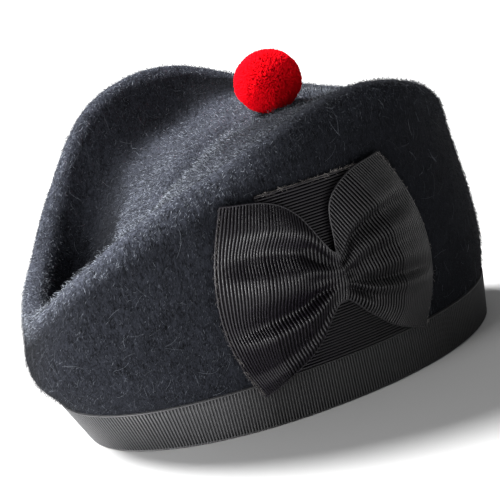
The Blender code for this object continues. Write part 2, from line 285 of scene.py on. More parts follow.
# Loose threads at the cockade's cut edges: the stretch of an edge, by its points, and their number there.
# The pairs have the least and the most of what is drawn at random.
Fray = namedtuple("Fray", "edge first last count")
FRAYS = (
    Fray("backing", 0, None, 150),
    Fray("bow_left", 0, None, 170),
    Fray("bow_right", 0, None, 90),
    Fray("bow_left", 0, 12, 45),
    Fray("bow_right", -10, None, 40),
)
FRAY_STOP = 0.001
FRAY_LENGTH = 1.7 * MM
FRAY_LENGTHS = (0.4, 1.3)
FRAY_OUTWARD = (-1.2, -0.1)
FRAY_CURL = 0.8
FRAY_SHARES = (0, 0.25, 0.5, 0.75, 1.0)
FRAY_WANDER = 0.25 * MM
FRAY_RADIUS = 0.07 * MM
FRAY_DARK = (0.05, 0.045, 0.045)
FRAY_LIGHT = (0.30, 0.28, 0.27)

# Toorie
TOORIE_LUMPS = 0.035
TOORIE_LUMP_SCALE = 2.2
TOORIE_LUMP_SINK = 0.4
TOORIE_DEEP = 0.9
CORE_SHARE = 0.80
CORE_SUBDIVISIONS = 4
STRAND_VARIATION = 0.10
STRAND_WILDNESS = 0.38
STRAND_ENDS = ((0.0, 0.4), (1.0, 0.5))

# Lights: where they stand from the camera's aim, and which setting of the stage has their strength
Lamp = namedtuple("Lamp", "name kind strength place shape")
LAMPS = (
    Lamp("key", "SUN", "key_strength", (-0.68, 0.68, 1.10), {"angle": math.radians(20)}),
    Lamp(
        "side", "AREA", "side_power", (-0.34, -0.165, -0.03),
        {"shape": "RECTANGLE", "size": 0.20, "size_y": 0.05},
    ),
    Lamp("fill", "AREA", "fill_power", (-1.25, -0.40, 0.72), {"shape": "DISK", "size": 0.5}),
)
FLOOR_REACH = 12.0
FLOOR_DROP = 0.2 * MM
FLOOR_DARK = 0.985

# Camera: where the photographer stood round the cap
CAMERA_AIM = Vector((0.009, -0.0068, 0.060))
CAMERA_DISTANCE = 0.610
CAMERA_AROUND = math.radians(18.9)
CAMERA_ABOVE = math.radians(20.0)
CAMERA_ROLL = math.radians(11.8)
SENSOR = 36.0
FRAME_PIXELS = 500
FOCAL_PIXELS = 1116
AIM_PIXEL = (273, 264)


class Value:
    """An output socket that can be used in sums."""

    def __init__(self, maker, socket):
        self.maker = maker
        self.socket = socket

    def __getitem__(self, name):
        """Another output of the same node."""
        return Value(self.maker, self.socket.node.outputs[name])

    def __add__(self, value):
        return self.maker.math("ADD", self, value)

    def __rsub__(self, value):
        return self.maker.math("SUBTRACT", value, self)

    def __mul__(self, value):
        return self.maker.math("MULTIPLY", self, value)

    def __pow__(self, value):
        return self.maker.math("POWER", self, value)

    __radd__ = __add__


def in_use(sockets, wanted):
    """One of the sockets that a node has in use, by its name or by its place among them."""
    used = [socket for socket in sockets if socket.enabled]
    if isinstance(wanted, int):
        return used[wanted]
    return next(socket for socket in used if socket.name == wanted)


class Maker:
    """Adds nodes to one tree, of a material or of Geometry Nodes."""

    def __init__(self, tree):
        self.tree = tree

    def node(self, kind, inputs=None, output=0, **settings):
        """Makes a node, sets it up, fills its sockets, and returns one of its outputs."""
        node = self.tree.nodes.new(kind)
        for name, value in settings.items():
            setattr(node, name, value)
        for name, value in (inputs or {}).items():
            self.fill(in_use(node.inputs, name), value)
        return Value(self, in_use(node.outputs, output)) if node.outputs else node

    def fill(self, socket, value):
        """Links a socket to another node's output, or sets its number."""
        if isinstance(value, Value):
            self.tree.links.new(value.socket, socket)
        else:
            socket.default_value = value

    def fill_shader(self, inputs):
        """Fills sockets of a material's Principled shader."""
        shader = self.tree.nodes["Principled BSDF"]
        for name, value in inputs.items():
            self.fill(shader.inputs[name], value)

    def math(self, operation, first, second):
        return self.node("ShaderNodeMath", {0: first, 1: second}, operation=operation)

    def vector(self, operation, first, second):
        return self.node("ShaderNodeVectorMath", {0: first, 1: second}, operation=operation)

    def between(self, share, low, high):
        """A colour between two others."""
        inputs = {"Factor": share, "A": low, "B": high}
        return self.node("ShaderNodeMix", inputs, data_type="RGBA")

    def random(self, low, high, seed, data_type="FLOAT"):
        """A random value for each point."""
        inputs = {"Min": low, "Max": high, "Seed": seed}
        return self.node("FunctionNodeRandomValue", inputs, data_type=data_type)

    def ramp(self, value, start, end, low=0.0, high=1.0):
        """Goes from low to high while a value goes from start to end."""
        inputs = {"Value": value, "From Min": start, "From Max": end, "To Min": low, "To Max": high}
        return self.node("ShaderNodeMapRange", inputs)

    def noise(self, layer, position):
        inputs = {
            "Vector": position, "Scale": layer.scale, "Detail": layer.detail, "Roughness": layer.roughness
        }
        return self.node("ShaderNodeTexNoise", inputs, "Fac")

    def bump(self, height, distance, strength):
        inputs = {"Height": height, "Distance": distance, "Strength": strength}
        return self.node("ShaderNodeBump", inputs)

    def object_position(self):
        return self.node("ShaderNodeTexCoord", output="Object")


def shade(colour, factor=1.0):
    """A colour made darker or lighter, with its alpha."""
    return (*[channel * factor for channel in colour], 1)


def new_material(name):
    """A material with a Principled shader, and a maker for its nodes."""
    material = bpy.data.materials.new(name)
    material.use_nodes = True
    return material, Maker(material.node_tree)


def felt_material(colour):
    """Dark wool felt: matted fibres that lie down the wall, cloudy patches, and a lighter tone from wear
    and painted light.
    """
    material, maker = new_material("napped_felt")
    place = maker.object_position()
    combed_or_front_lit = maker.vector("MULTIPLY", place, FELT_COMBING)
    fibres = maker.noise(FELT_FIBRES, combed_or_front_lit)
    clumps = maker.noise(FELT_CLUMPS, combed_or_front_lit)
    clouds = maker.noise(FELT_CLOUDS, place)
    mixed = fibres * FELT_FIBRES.share + clumps * FELT_CLUMPS.share + clouds * FELT_CLOUDS.share
    tone = maker.ramp(mixed, *FELT_TONES)
    # The skin's mark of wear and of painted light and shade
    worn_and_lit = maker.node("ShaderNodeAttribute", output="Fac", attribute_name="rub")
    body = maker.between(tone, shade(colour, FELT_DARK), shade(colour, FELT_LIGHT))
    maker.fill_shader({
        "Base Color": maker.between(worn_and_lit * tone, body, shade(colour, FELT_WORN_AND_LIT)),
        "Normal": maker.bump(fibres * 0.5 + clumps, distance=0.5 * MM, strength=0.8),
        "Roughness": 0.95, "Specular IOR Level": 0.05, "Sheen Weight": 0.01, "Sheen Roughness": 0.4,
    })
    return material


def hair_material(name, low, high, roughness=0.7, sheen=0.0):
    """Loose fibres, each of its own tone between two colours."""
    material, maker = new_material(name)
    tone = maker.node("ShaderNodeAttribute", output="Fac", attribute_name="tone")
    maker.fill_shader({
        "Base Color": maker.between(tone, shade(low), shade(high)),
        "Roughness": roughness, "Specular IOR Level": 0.15,
        "Sheen Weight": sheen, "Sheen Roughness": 0.5, "Sheen Tint": shade(high),
    })
    return material


def ribbon_material(name, colour, weave):
    """Grosgrain cloth: fine threads over the ribs, a slow change of shine, and painted light and shade
    from one end to the other.
    """
    material, maker = new_material(name)
    place = maker.object_position()
    threads = maker.noise(RIBBON_THREADS, place)
    clouds = maker.noise(RIBBON_CLOUDS, place)
    along = maker.node("ShaderNodeSeparateXYZ", {"Vector": place}, "X")
    # Painted light towards one end, painted shade towards the other
    tone = maker.ramp(along, weave.start, weave.end, weave.plain, weave.faded)
    mixed = threads * RIBBON_THREADS.share + clouds * RIBBON_CLOUDS.share
    body = maker.between(mixed, shade(colour, RIBBON_DARK), shade(colour, RIBBON_LIGHT))
    dull = maker.ramp(along, weave.start, weave.end, PLAIN_ROUGHNESS, 0.0)
    least = weave.roughness - (THREAD_ROUGHNESS + CLOUD_ROUGHNESS) / 2
    maker.fill_shader({
        "Base Color": maker.vector("SCALE", body, tone),
        "Roughness": threads * THREAD_ROUGHNESS + clouds * CLOUD_ROUGHNESS + dull + least,
        "Normal": maker.bump(threads, distance=0.12 * MM, strength=0.6),
        "Specular IOR Level": weave.shine,
    })
    return material


def floor_material(colour):
    material, maker = new_material("pale_floor")
    grain = maker.noise(FLOOR_GRAIN, maker.object_position())
    maker.fill_shader({
        "Base Color": maker.between(grain, shade(colour, FLOOR_DARK), shade(colour)),
        "Roughness": 0.9, "Specular IOR Level": 0.1,
    })
    return material


def placed(name, data):
    """Puts a mesh, a light or a camera in the scene as an object."""
    holder = bpy.data.objects.new(name, data)
    bpy.context.scene.collection.objects.link(holder)
    return holder


def finished(name, mesh, slot, *materials):
    """Puts a finished mesh in the scene as a piece that goes with the cap."""
    for material in materials:
        mesh.materials.append(material)
    mesh.shade_smooth()
    piece = placed(name, mesh)
    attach(piece, "root")
    return piece


def evaluated_copy(holder):
    """The mesh that an object's modifiers make, as a plain mesh. The holder is then removed."""
    bpy.context.view_layer.update()
    graph = bpy.context.evaluated_depsgraph_get()
    mesh = bpy.data.meshes.new_from_object(holder.evaluated_get(graph), depsgraph=graph)
    bpy.data.objects.remove(holder, do_unlink=True)
    return mesh


def mesh_of(name, points, edges=(), faces=()):
    mesh = bpy.data.meshes.new(name)
    mesh.from_pydata([tuple(point) for point in points], edges, faces)
    return mesh


def mesh_from(editor, name):
    """Turns an edited bmesh into a mesh, and frees it."""
    mesh = bpy.data.meshes.new(name)
    editor.to_mesh(mesh)
    editor.free()
    return mesh


def thickened(holder, thickness):
    """The mesh of a sheet with its thickness behind it."""
    thick = holder.modifiers.new("thick", "SOLIDIFY")
    thick.thickness = thickness
    thick.offset = -1
    return evaluated_copy(holder)


def store(mesh, name, values):
    """Keeps a number for each of a mesh's vertices, as an attribute."""
    mesh.attributes.new(name, "FLOAT", "POINT").data.foreach_set("value", values)


def islands(items, neighbours):
    """Groups of mesh elements that hang together, in the order of their first elements."""
    seen = set()
    groups = []
    for start in items:
        if start in seen:
            continue
        seen.add(start)
        group = [start]
        for item in group:
            fresh = set(neighbours(item)) - seen
            seen |= fresh
            group += fresh
        groups.append(group)
    return groups


def with_nodes(holder, build, **values):
    """Runs a Geometry Nodes tree on a mesh, with its named inputs set. The tree is built only once."""
    tree = bpy.data.node_groups.get(build.__name__) or build()
    modifier = holder.modifiers.new(tree.name, "NODES")
    modifier.node_group = tree
    for item in tree.interface.items_tree:
        if item.in_out == "INPUT" and item.name in values:
            modifier[item.identifier] = values[item.name]
    return evaluated_copy(holder)


def new_tree(name, **sockets):
    """The maker of a new Geometry Nodes tree with named inputs, and its group input."""
    tree = bpy.data.node_groups.new(name, "GeometryNodeTree")
    tree.interface.new_socket("Geometry", in_out="INPUT", socket_type="NodeSocketGeometry")
    tree.interface.new_socket("Geometry", in_out="OUTPUT", socket_type="NodeSocketGeometry")
    for socket, kind in sockets.items():
        tree.interface.new_socket(socket, in_out="INPUT", socket_type="NodeSocket" + kind)
    maker = Maker(tree)
    return maker, maker.node("NodeGroupInput")


def end_tree(maker, geometry, material):
    """Ends a tree with real geometry in one material, and returns it."""
    whole = maker.node("GeometryNodeRealizeInstances", {"Geometry": geometry})
    dressed = maker.node("GeometryNodeSetMaterial", {"Geometry": whole, "Material": material})
    maker.node("NodeGroupOutput", {"Geometry": dressed})
    return maker.tree


def cords_on_lines():
    """Gives thickness to lines: ribs, stray hairs and frayed threads."""
    maker, given = new_tree("cords_on_lines", Radius="Float", Sides="Int", Material="Material")
    lines = maker.node("GeometryNodeMeshToCurve", {"Mesh": given["Geometry"]})
    inputs = {"Resolution": given["Sides"], "Radius": given["Radius"]}
    ring = maker.node("GeometryNodeCurvePrimitiveCircle", inputs)
    inputs = {"Curve": lines, "Profile Curve": ring, "Fill Caps": True}
    cords = maker.node("GeometryNodeCurveToMesh", inputs)
    smooth = maker.node("GeometryNodeSetShadeSmooth", {"Geometry": cords})
    return end_tree(maker, smooth, given["Material"])


def nap_on_surface():
    """Stands fibres all over a surface, leaning one way, each with its own length, lean and tone."""
    maker, given = new_tree(
        "nap_on_surface", Fibre="Object", Density="Float", Length="Float", Variation="Float",
        Thickness="Float", Comb="Vector", Rise="Float", Wildness="Float", Seed="Int", Material="Material",
    )
    seed = given["Seed"]
    cover = maker.node("GeometryNodeInputNamedAttribute", {"Name": "nap"}, data_type="FLOAT")
    density = given["Density"] * cover
    inputs = {"Mesh": given["Geometry"], "Density": density, "Seed": seed}
    roots = maker.node("GeometryNodeDistributePointsOnFaces", inputs, "Points")
    normal = roots["Normal"]
    comb = given["Comb"]
    off = maker.vector("SCALE", normal, maker.vector("DOT_PRODUCT", comb, normal))
    lie = maker.vector("SUBTRACT", comb, off)
    spread = maker.random((-1, -1, -1), (1, 1, 1), seed, "FLOAT_VECTOR")
    rise = maker.vector("SCALE", normal, given["Rise"])
    wild = maker.vector("SCALE", spread, given["Wildness"])
    heading = maker.vector("ADD", maker.vector("ADD", rise, lie), wild)
    turn = maker.node("FunctionNodeAlignRotationToVector", {"Vector": heading}, axis="Z")
    spin = maker.node("ShaderNodeCombineXYZ", {"Z": maker.random(0.0, math.tau, seed + 1)})
    inputs = {"Rotation": turn, "Rotate By": spin}
    turn = maker.node("FunctionNodeRotateRotation", inputs, rotation_space="LOCAL")
    variation = given["Variation"]
    length = given["Length"] * maker.random(1 - variation, 1 + variation, seed + 2)
    thickness = given["Thickness"]
    size = maker.node("ShaderNodeCombineXYZ", {"X": thickness, "Y": thickness, "Z": length})
    fibre = maker.node("GeometryNodeObjectInfo", {"Object": given["Fibre"]}, "Geometry")
    inputs = {"Points": roots, "Instance": fibre, "Rotation": turn, "Scale": size}
    fibres = maker.node("GeometryNodeInstanceOnPoints", inputs)
    # Fibres are lighter by the skin's wear and painted light, and darker by its painted shade
    worn_and_lit = maker.node("GeometryNodeInputNamedAttribute", {"Name": "rub"}, data_type="FLOAT")
    clumps = maker.noise(NAP_CLUMPS, maker.node("GeometryNodeInputPosition"))
    tone = maker.random(0.0, 1.0, seed + 3) ** NAP_TONE_POWER
    tone = tone * (worn_and_lit * (1 - NAP_LEAST_TONE) + NAP_LEAST_TONE) * maker.ramp(clumps, *NAP_CLUMP_TONES)
    inputs = {"Geometry": fibres, "Name": "tone", "Value": tone}
    toned = maker.node("GeometryNodeStoreNamedAttribute", inputs, data_type="FLOAT", domain="INSTANCE")
    return end_tree(maker, toned, given["Material"])


def cords(rows, radius, sides, material):
    """Cords of one thickness, one along each row of points, as a mesh."""
    points = []
    edges = []
    for row in rows:
        first = len(points)
        points += row
        edges += [(first + step, first + step + 1) for step in range(len(row) - 1)]
    lines = placed("cord_lines", mesh_of("cord_lines", points, edges))
    return with_nodes(lines, cords_on_lines, Radius=radius, Sides=sides, Material=material)


def ribs(name, rows, radius, material, slot):
    """A ribbon's ribs or woven edges, one along each row of points, as a piece."""
    return finished(name, cords(rows, radius, RIB_SIDES, material), slot)


def random_tone(mesh, seed, lightest=1.0):
    """Gives each cord of a mesh its own tone, and returns the mesh."""
    editor = bmesh.new()
    editor.from_mesh(mesh)
    tone = editor.verts.layers.float.new("tone")
    chance = random.Random(seed)
    loose = islands(editor.verts, lambda vertex: [edge.other_vert(vertex) for edge in vertex.link_edges])
    for cord in loose:
        value = chance.random() * lightest
        for vertex in cord:
            vertex[tone] = value
    editor.to_mesh(mesh)
    editor.free()
    return mesh


def three_corners(radius, height, bend=0.0):
    """The corners of a three-sided fibre at one height."""
    angles = [math.tau * corner / 3 for corner in range(3)]
    return [(radius * math.cos(angle) + bend, radius * math.sin(angle), height) for angle in angles]


def spindle(bend):
    """A bent fibre of unit length and thickness: pointed at both ends, and thickest at its middle."""
    points = [(0, 0, 0), *three_corners(0.5, 0.5, bend), (0, 0, 1)]
    faces = []
    for this, after in ((1, 2), (2, 3), (3, 1)):
        faces += [(0, after, this), (this, after, 4)]
    return placed("fibre_shape", mesh_of("fibre_shape", points, (), faces))


def cut_strand():
    """A strand of unit length and thickness with a blunt cut end, a little thicker there."""
    points = [corner for height, radius in STRAND_ENDS for corner in three_corners(radius, height)]
    faces = [(2, 1, 0), (3, 4, 5), (0, 1, 4, 3), (1, 2, 5, 4), (2, 0, 3, 5)]
    return placed("strand_shape", mesh_of("strand_shape", points, (), faces))


def search_tree(*names):
    """A search tree over CAD nodes."""
    points = []
    faces = []
    for name in names:
        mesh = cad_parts[name].data
        first = len(points)
        points += [vertex.co.copy() for vertex in mesh.vertices]
        faces += [[first + index for index in polygon.vertices] for polygon in mesh.polygons]
    return BVHTree.FromPolygons(points, faces)


def smooth_step(start, end, value):
    """Goes smoothly from 0 to 1 while a value goes from start to end. Either may be the larger one."""
    share = min(max((value - start) / (end - start), 0), 1)
    return share * share * (3 - 2 * share)


def felt_cage():
    """The outer face of the CAD crown's felt, with quads where it has pairs of triangles."""
    cage = bmesh.new()
    cage.from_mesh(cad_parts["crown"].data)
    bmesh.ops.remove_doubles(cage, verts=cage.verts, dist=SAME_PLACE)
    hem = [face for face in cage.faces if max(vertex.co.z for vertex in face.verts) < SAME_PLACE]
    bmesh.ops.delete(cage, geom=hem, context="FACES")
    skins = islands(cage.faces, lambda face: [near for edge in face.edges for near in edge.link_faces])
    lining = min(skins, key=lambda skin: max(face.calc_center_median().z for face in skin))
    bmesh.ops.delete(cage, geom=lining, context="FACES")
    loose = [vertex for vertex in cage.verts if not vertex.link_faces]
    bmesh.ops.delete(cage, geom=loose, context="VERTS")
    longest = {face: max(face.edges, key=lambda edge: edge.calc_length()) for face in cage.faces}
    diagonals = [
        edge for edge in cage.edges
        if len(edge.link_faces) == 2 and all(longest[face] == edge for face in edge.link_faces)
    ]
    bmesh.ops.dissolve_edges(cage, edges=diagonals, use_verts=False)
    return mesh_from(cage, "felt_skin")


def felt_skin():
    """The felt's outer face, finer and a little lumpy, with its hollow and its crease.

    Returns it with the marks of each vertex, from 0 to 1: hollow, roll, trough and crease.
    """
    holder = placed("felt_skin", felt_cage())
    finer = holder.modifiers.new("finer", "SUBSURF")
    finer.levels = SUBDIVISIONS
    finer.render_levels = SUBDIVISIONS
    skin = evaluated_copy(holder)
    normals = [vertex.normal.copy() for vertex in skin.vertices]
    places = [vertex.co.copy() for vertex in skin.vertices]
    rim = rim_line(places)
    marks = []
    for vertex, normal, place in zip(skin.vertices, normals, places):
        lump = noise.fractal(place / LUMP_SIZE, *LUMP_FRACTAL) * LUMP_HEIGHT
        above_band = min(max((place.z - BAND_HIGH.z) / LUMP_FADE, 0), 1)
        hollow, roll, trough = valley_marks(place, normal, rim)
        crease = crease_mark(place, normal)
        drop = HOLLOW_DEPTH * hollow + CREASE_DEPTH * crease
        vertex.co = place + normal * lump * above_band - Vector((0, 0, drop))
        marks.append((hollow, roll, trough, crease))
    return skin, marks


def crease_mark(place, normal):
    """How much of the valley's crease a place has, from 0 to 1."""
    across = place.y - CREASE_POINT.y - CREASE_SLOPE * (place.x - CREASE_POINT.x)
    ends = smooth_step(*CREASE_LOW_END, place.x) * smooth_step(*CREASE_TALL_END, place.x)
    return math.exp(-((across / CREASE_WIDTH) ** 2)) * ends * smooth_step(*CREASE_LEVEL, normal.z)


def rim_sector(arm):
    """Which way an arm from the opening's centre points, counted in sectors of the rim."""
    return (math.atan2(arm.y, arm.x) / math.tau + 1) * RIM_SECTORS


def rim_line(places):
    """The fold's top in each sector: its distance from the opening's centre, and its height."""
    sectors = RIM_SECTORS
    arms = [(place - OPENING).to_2d() for place in places]
    nearest = [int(rim_sector(arm)) % sectors for arm in arms]
    outermost = [0.0] * sectors
    for sector, arm in zip(nearest, arms):
        outermost[sector] = max(outermost[sector], arm.length)
    heights = [0.0] * sectors
    for sector, arm, place in zip(nearest, arms, places):
        if arm.length > outermost[sector] - 2 * FOLD_RADIUS:
            heights[sector] = max(heights[sector], place.z)
    values = [(distance - FOLD_RADIUS, height) for distance, height in zip(outermost, heights)]
    trios = [[values[(index + step) % sectors] for step in (-1, 0, 1)] for index in range(sectors)]
    return [tuple(sum(value[column] for value in trio) / 3 for column in (0, 1)) for trio in trios]


def valley_marks(place, normal, rim):
    """How much of the low end's hollow, of the fold's roll and of the trough a place has, from 0 to 1."""
    arm = (place - OPENING).to_2d()
    sector = rim_sector(arm) - 0.5
    index = int(sector)
    distance, height = (
        near + (after - near) * (sector - index)
        for near, after in zip(rim[index % RIM_SECTORS], rim[(index + 1) % RIM_SECTORS])
    )
    under_rim = height - place.z
    if normal.z < WALL_LEVEL and normal.to_2d().dot(arm.normalized()) > 0:
        return 0.0, smooth_step(*ROLL_FADE, under_rim), 0.0
    share = arm.length / distance
    along = (place.x - HOLLOW_CENTRE.x) / HOLLOW_LENGTH
    across = (place.y - HOLLOW_CENTRE.y) / HOLLOW_WIDTH
    hollow = smooth_step(*HOLLOW_EDGE, share) * math.exp(-(along**2) - across**2)
    under_rim += HOLLOW_DEPTH * hollow + ROLL_EDGE_DROP * smooth_step(*ROLL_EDGE, share)
    trough = smooth_step(*TROUGH_EDGE, share) * smooth_step(*TROUGH_SIDE, place.y)
    return hollow, smooth_step(*ROLL_FADE, under_rim), trough


def nap_cover(skin, marks):
    """Marks where nap shows, which isn't under the trimmings, and the felt's wear and painted light and
    shade.
    """
    trims = search_tree("band", "cockade_backing", "cockade_bow")
    cover = []
    worn_and_lit = []
    for vertex, (hollow, roll, trough, crease) in zip(skin.vertices, marks):
        place = vertex.co
        normal = vertex.normal
        covered = trims.ray_cast(place - normal * FELT, normal, TRIM_REACH)[0] is not None
        under_ball = (place - TOORIE_CENTRE).length < TOORIE_RADIUS * BALL_COVER
        hidden = covered or under_ball or place.z < BAND_HIGH.z
        cover.append(0.0 if hidden else NAP_PLAIN + roll)
        # Painted light on level felt, held back by painted shade in the hollow, the trough and the crease
        lit_from_above = smooth_step(*LIT_LEVEL, normal.z) * (1 - HOLLOW_SHADE * hollow**0.5)
        lit_from_above *= (1 - TROUGH_SHADE * trough) * (1 - CREASE_SHADE * crease)
        # Painted shade on the near tall quarter
        tall_shade = TALL_SHADE * smooth_step(*TALL_SHADE_ALONG, place.x) * smooth_step(*TALL_SHADE_ACROSS, place.y)
        # Painted light on the near wall where it faces the front, more towards the low end
        combed_or_front_lit = FRONT_LIGHT * smooth_step(*FRONT_LIGHT_ALONG, place.x) * smooth_step(*FRONT_LIGHT_SIDE, -normal.y)
        # The roll is lighter by wear and by painted highlight
        worn_and_lit.append(max(max(lit_from_above, roll) * (1 - tall_shade), combed_or_front_lit))
    store(skin, "nap", cover)
    store(skin, "rub", worn_and_lit)
    return cover


def quarter_of(skin, along, across):
    """The part of the skin in one quarter of the cap, seen from above."""
    part = bmesh.new()
    part.from_mesh(skin)
    arms = {face: face.calc_center_median() - OPENING for face in part.faces}
    others = [
        face for face, arm in arms.items()
        if (arm.x > 0) != (along > 0) or (arm.y > 0) != (across > 0)
    ]
    bmesh.ops.delete(part, geom=others, context="FACES")
    return mesh_from(part, "skin_quarter")


def stray_hairs(skin, cover, count):
    """Long hairs that lie loosely on the felt and leave it at their tips, as rows of points."""
    chance = random.Random(SEEDS["stray_hairs"])
    faces = [face for face in skin.polygons if min(cover[index] for index in face.vertices) > 0]
    weights = np.cumsum([face.area for face in faces])
    rows = []
    for _ in range(count):
        face = faces[int(np.searchsorted(weights, chance.random() * weights[-1]))]
        normal = face.normal
        heading = Vector([chance.gauss(0, 1) for _ in range(3)]) + HAIR_LEAN
        heading = (heading - normal * heading.dot(normal)).normalized()
        side = normal.cross(heading) * chance.gauss(0, HAIR_CURL)
        length = chance.uniform(*HAIR_LENGTH) * MM
        lift = chance.uniform(*HAIR_LIFT)
        row = []
        for step in range(HAIR_STEPS + 1):
            share = step / HAIR_STEPS
            place = face.center + heading * length * share + side * length * share**2
            row.append(place + normal * (HAIR_ROOT + length * lift * share * (1 - 0.5 * share)))
        rows.append(row)
    return rows


def colour_setting(name, default):
    return bpy.props.FloatVectorProperty(name=name, default=default, size=3, subtype="COLOR")


def number_setting(name, default, unit="NONE"):
    return bpy.props.FloatProperty(name=name, default=default, unit=unit)


class FeltSettings(bpy.types.PropertyGroup):
    """The felt's colours and its fibres. The densities are for each square metre."""

    colour: colour_setting("Matted wool", (0.0070, 0.0076, 0.0098))
    fibre_dark: colour_setting("Darkest fibres", (0.007, 0.008, 0.011))
    fibre_light: colour_setting("Lightest fibres", (0.45, 0.49, 0.56))
    nap_density: number_setting("Density of short fibres", 640000)
    nap_length: number_setting("Length of short fibres", 1.3 * MM, "LENGTH")
    curl_density: number_setting("Density of bent fibres", 380000)
    curl_length: number_setting("Length of bent fibres", 2.8 * MM, "LENGTH")
    fibre_thickness: number_setting("Thickness of fibres", 0.18 * MM, "LENGTH")
    stray_count: bpy.props.IntProperty(name="Number of stray hairs", default=800)


class RibbonSettings(bpy.types.PropertyGroup):
    """The ribbons' colours and their weave."""

    band_colour: colour_setting("Band", (0.020, 0.020, 0.021))
    cockade_colour: colour_setting("Cockade", (0.0062, 0.0048, 0.0078))
    rib_pitch: number_setting("Distance between ribs", 1.55 * MM, "LENGTH")
    rib_radius: number_setting("Radius of ribs", 0.52 * MM, "LENGTH")
    selvedge_radius: number_setting("Radius of woven edges", 0.5 * MM, "LENGTH")


class ToorieSettings(bpy.types.PropertyGroup):
    """The toorie's yarn."""

    colour: colour_setting("Lightest yarn", (1.0, 0.0, 0.010))
    strand_count: bpy.props.IntProperty(name="Number of strands", default=13000)
    strand_thickness: number_setting("Thickness of strands", 0.62 * MM, "LENGTH")


class StageSettings(bpy.types.PropertyGroup):
    """The floor and the lights. The key light is a soft one from behind at the left."""

    floor_colour: colour_setting("Floor", (0.60, 0.60, 0.60))
    room_strength: number_setting("Light from all round", 0.25)
    key_strength: number_setting("Key light", 11.0)
    side_power: number_setting("Low light at the left", 0.9, "POWER")
    fill_power: number_setting("Light from the front left", 8.0, "POWER")


SETTINGS = {
    "glengarry_felt": FeltSettings,
    "glengarry_ribbon": RibbonSettings,
    "glengarry_toorie": ToorieSettings,
    "glengarry_stage": StageSettings,
}


class GLENGARRY_OT_felt(bpy.types.Operator):
    """Makes the felt body, its nap and its stray hairs."""

    bl_idname = "glengarry.felt"
    bl_label = "Felt"

    def execute(self, context):
        settings = context.scene.glengarry_felt
        material = felt_material(settings.colour)
        hair = hair_material("loose_fibres", settings.fibre_dark, settings.fibre_light)
        skin, marks = felt_skin()
        cover = nap_cover(skin, marks)
        wall = thickened(placed("felt_wall", skin.copy()), FELT)
        body = finished("felt_body", wall, "black_felt", material)
        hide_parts("crown")

        shapes = [spindle(kind.bend) for kind in FIBRE_KINDS]
        for number, (quarter, (along, across)) in enumerate(QUARTERS.items()):
            part = quarter_of(skin, along, across)
            for kind, shape in zip(FIBRE_KINDS, shapes):
                mesh = with_nodes(
                    placed("roots", part.copy()), nap_on_surface, Fibre=shape, Material=hair,
                    Density=getattr(settings, kind.density), Length=getattr(settings, kind.length),
                    Variation=kind.variation, Thickness=settings.fibre_thickness, Comb=COMB,
                    Rise=kind.rise, Wildness=kind.wildness, Seed=SEED_STEP * number + kind.seed,
                )
                finished(f"{kind.name}_{quarter}", mesh, "black_felt")
        for shape in shapes:
            bpy.data.objects.remove(shape, do_unlink=True)
        rows = stray_hairs(skin, cover, settings.stray_count)
        hairs = cords(rows, settings.fibre_thickness * HAIR_RADIUS, HAIR_SIDES, hair)
        finished("stray_hairs", random_tone(hairs, SEEDS["stray_tones"], HAIR_LIGHTEST), "black_felt")
        return {"FINISHED"}


def band_rings(pitch):
    """Points at equal steps round the band's lower and its upper edge, and the way round."""
    tree = search_tree("band")
    low = RING_MARGIN
    high = BAND_HIGH.z - RING_MARGIN
    rings = []
    for height in (low, high):
        ring = []
        for ray in range(RING_RAYS):
            angle = math.tau * ray / RING_RAYS
            out = Vector((math.cos(angle), math.sin(angle), 0))
            start = OPENING + out * RAY_START + Vector((0, 0, height))
            ring.append(tree.ray_cast(start, -out)[0])
        shifts = range(-RING_SMOOTHING, RING_SMOOTHING + 1)
        rings.append(np.mean([np.roll(np.array(ring), shift, axis=0) for shift in shifts], axis=0))
    steps = np.linalg.norm(np.diff(rings[0], axis=0, append=rings[0][:1]), axis=1)
    walked = np.concatenate([[0], np.cumsum(steps)])
    wanted = np.linspace(0, walked[-1], round(walked[-1] / pitch), endpoint=False)
    even = []
    for ring in rings:
        closed = np.vstack([ring, ring[:1]])
        even.append(np.column_stack([np.interp(wanted, walked, closed[:, axis]) for axis in range(3)]))
    lower = even[0] - (even[1] - even[0]) * low / (high - low)
    upper = even[1] + (even[1] - even[0]) * (BAND_HIGH.z - high) / (high - low)
    return lower, upper, walked[-1]


def band_sheet(lower, upper):
    """The band's ribbon as a closed ring: rows up its outer face and down its inner one."""
    count = len(lower)
    points = []
    for sunk in (SHEET_INSET, SHEET_INSET + BAND_DEPTH):
        for share in np.linspace(0, 1, BAND_ROWS):
            ring = lower * (1 - share) + upper * share
            out = ring - np.array(OPENING)
            out[:, 2] = 0
            out /= np.linalg.norm(out, axis=1)[:, None]
            points += list(ring - out * sunk)
    section = [*range(BAND_ROWS), *reversed(range(BAND_ROWS, 2 * BAND_ROWS))]
    faces = []
    for low_row, high_row in zip(section, section[1:] + section[:1]):
        for rib in range(count):
            corners = ((low_row, rib), (low_row, rib + 1), (high_row, rib + 1), (high_row, rib))
            faces.append([row * count + place % count for row, place in corners])
    return mesh_of("band_ribbon", points, (), faces)


